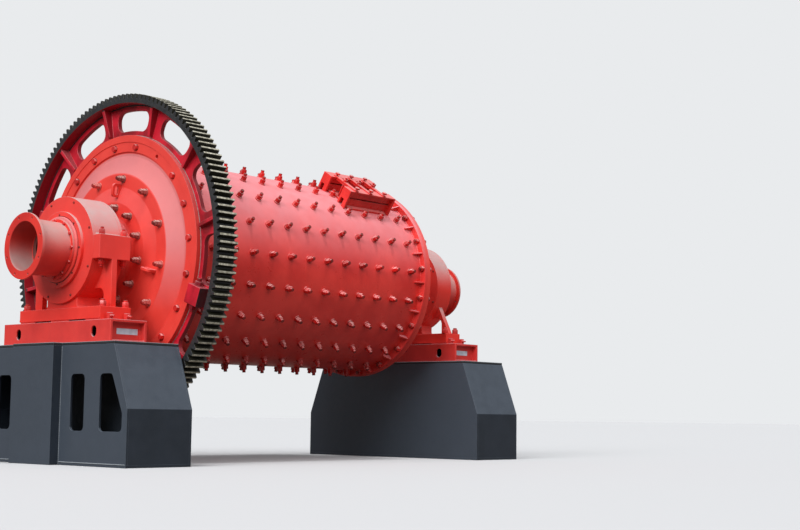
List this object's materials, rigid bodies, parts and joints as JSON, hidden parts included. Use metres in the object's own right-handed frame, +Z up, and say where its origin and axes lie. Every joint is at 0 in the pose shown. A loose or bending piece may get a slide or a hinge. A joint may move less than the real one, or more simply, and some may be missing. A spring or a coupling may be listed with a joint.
{
  "type": "overflow ball mill",
  "caption": "Horizontal grinding drum with a toothed girth gear, carried by hollow trunnions in round bearing housings on welded plate pedestals.",
  "frame": {"origin": "on the ground, midway between the two spout mouths, under the drum's axis", "axes": "+X along the mill from the discharge and gear end to the feed end, +Z up"},
  "size_m": [5.523, 2.9598, 3.33],
  "materials": {
    "shell_paint": "gloss enamel with dust on top",
    "casting_paint": "gloss enamel over casting skin",
    "housing_paint": "gloss enamel over casting skin",
    "gear_paint": "crimson enamel, greased black rim",
    "bearing_steel": "machined",
    "pedestal_paint": "satin slate grey"
  },
  "bodies": {
    "supports": {"discharge_pedestal_base_plate": "pedestal_paint", "discharge_pedestal_outer_plate": "pedestal_paint", "discharge_pedestal_inner_plate": "pedestal_paint", "discharge_pedestal_sides": "pedestal_paint", "discharge_pedestal_column": "pedestal_paint", "discharge_pedestal_top_plate": "pedestal_paint", "discharge_sole_plate": "housing_paint", "discharge_bearing_base": "housing_paint", "discharge_bearing_cap": "housing_paint", "discharge_outer_cover": "housing_paint", "discharge_inner_cover": "housing_paint", "discharge_seal_ring": "housing_paint", "discharge_bearing_ring": "bearing_steel", "feed_pedestal_base_plate": "pedestal_paint", "feed_pedestal_outer_plate": "pedestal_paint", "feed_pedestal_inner_plate": "pedestal_paint", "feed_pedestal_sides": "pedestal_paint", "feed_pedestal_column": "pedestal_paint", "feed_pedestal_top_plate": "pedestal_paint", "feed_sole_plate": "housing_paint", "feed_bearing_housing": "housing_paint", "feed_outer_cover": "housing_paint", "feed_inner_cover": "housing_paint", "feed_seal_ring": "housing_paint", "feed_bearing_ring": "bearing_steel"},
    "drum": {"shell": "shell_paint", "gear_end_shell_flange": "shell_paint", "feed_end_shell_flange": "shell_paint", "shell_gussets": "shell_paint", "discharge_head": "casting_paint", "feed_head": "casting_paint", "discharge_spout": "casting_paint", "feed_spout": "casting_paint", "girth_gear_upper_half": "gear_paint", "girth_gear_lower_half": "gear_paint", "manhole_frame": "shell_paint", "manhole_cover": "shell_paint", "manhole_bearers": "shell_paint", "manhole_bridges": "shell_paint"}
  },
  "joints": [
    {"name": "drum_spin", "type": "hinge", "parent": "supports", "child": "drum", "pos_m": [0, 0, 1.85], "axis": [1, 0, 0], "continuous": true}
  ]
}
